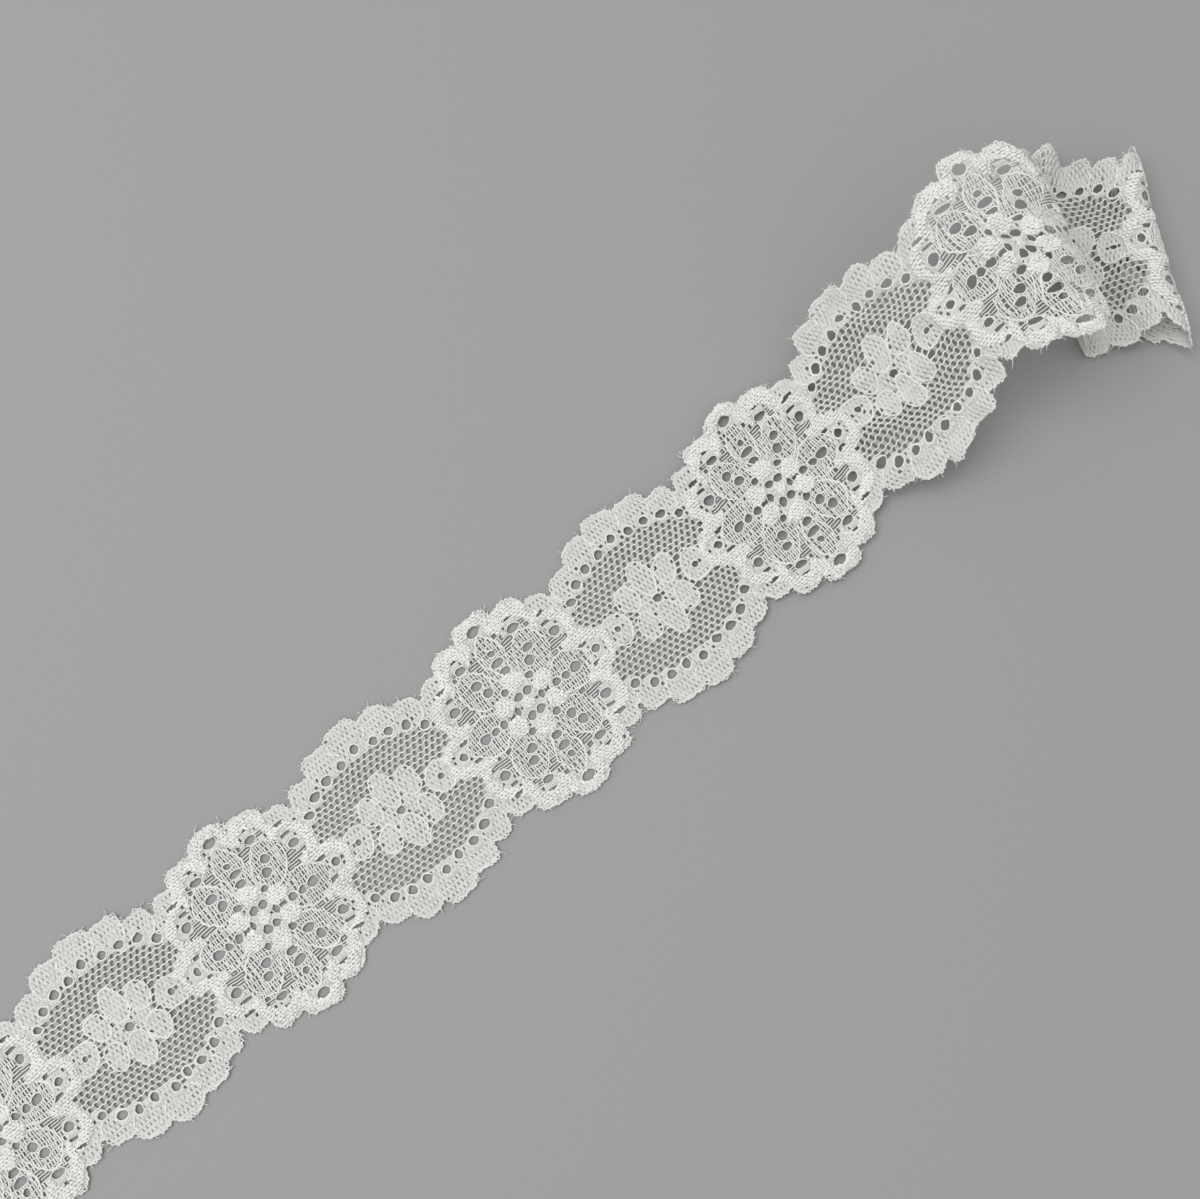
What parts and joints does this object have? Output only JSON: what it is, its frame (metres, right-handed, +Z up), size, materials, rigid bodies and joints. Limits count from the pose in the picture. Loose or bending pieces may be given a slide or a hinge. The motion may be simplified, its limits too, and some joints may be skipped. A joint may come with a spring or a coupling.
{
  "type": "scalloped elastic lace trim",
  "caption": "Cut length of white stretch lace trim with scalloped edges, laid flat with its far end humped and folded under.",
  "frame": {"origin": "middle of the strip's bounding box, on the surface that it lies on", "axes": "+X runs along the flat length toward the folded end, +Y to the left of that, +Z up"},
  "size_m": [0.3486, 0.0594, 0.0245],
  "materials": {
    "white_lace": "matte"
  },
  "bodies": {
    "root": {"lace_strip": "white_lace"}
  },
  "joints": []
}
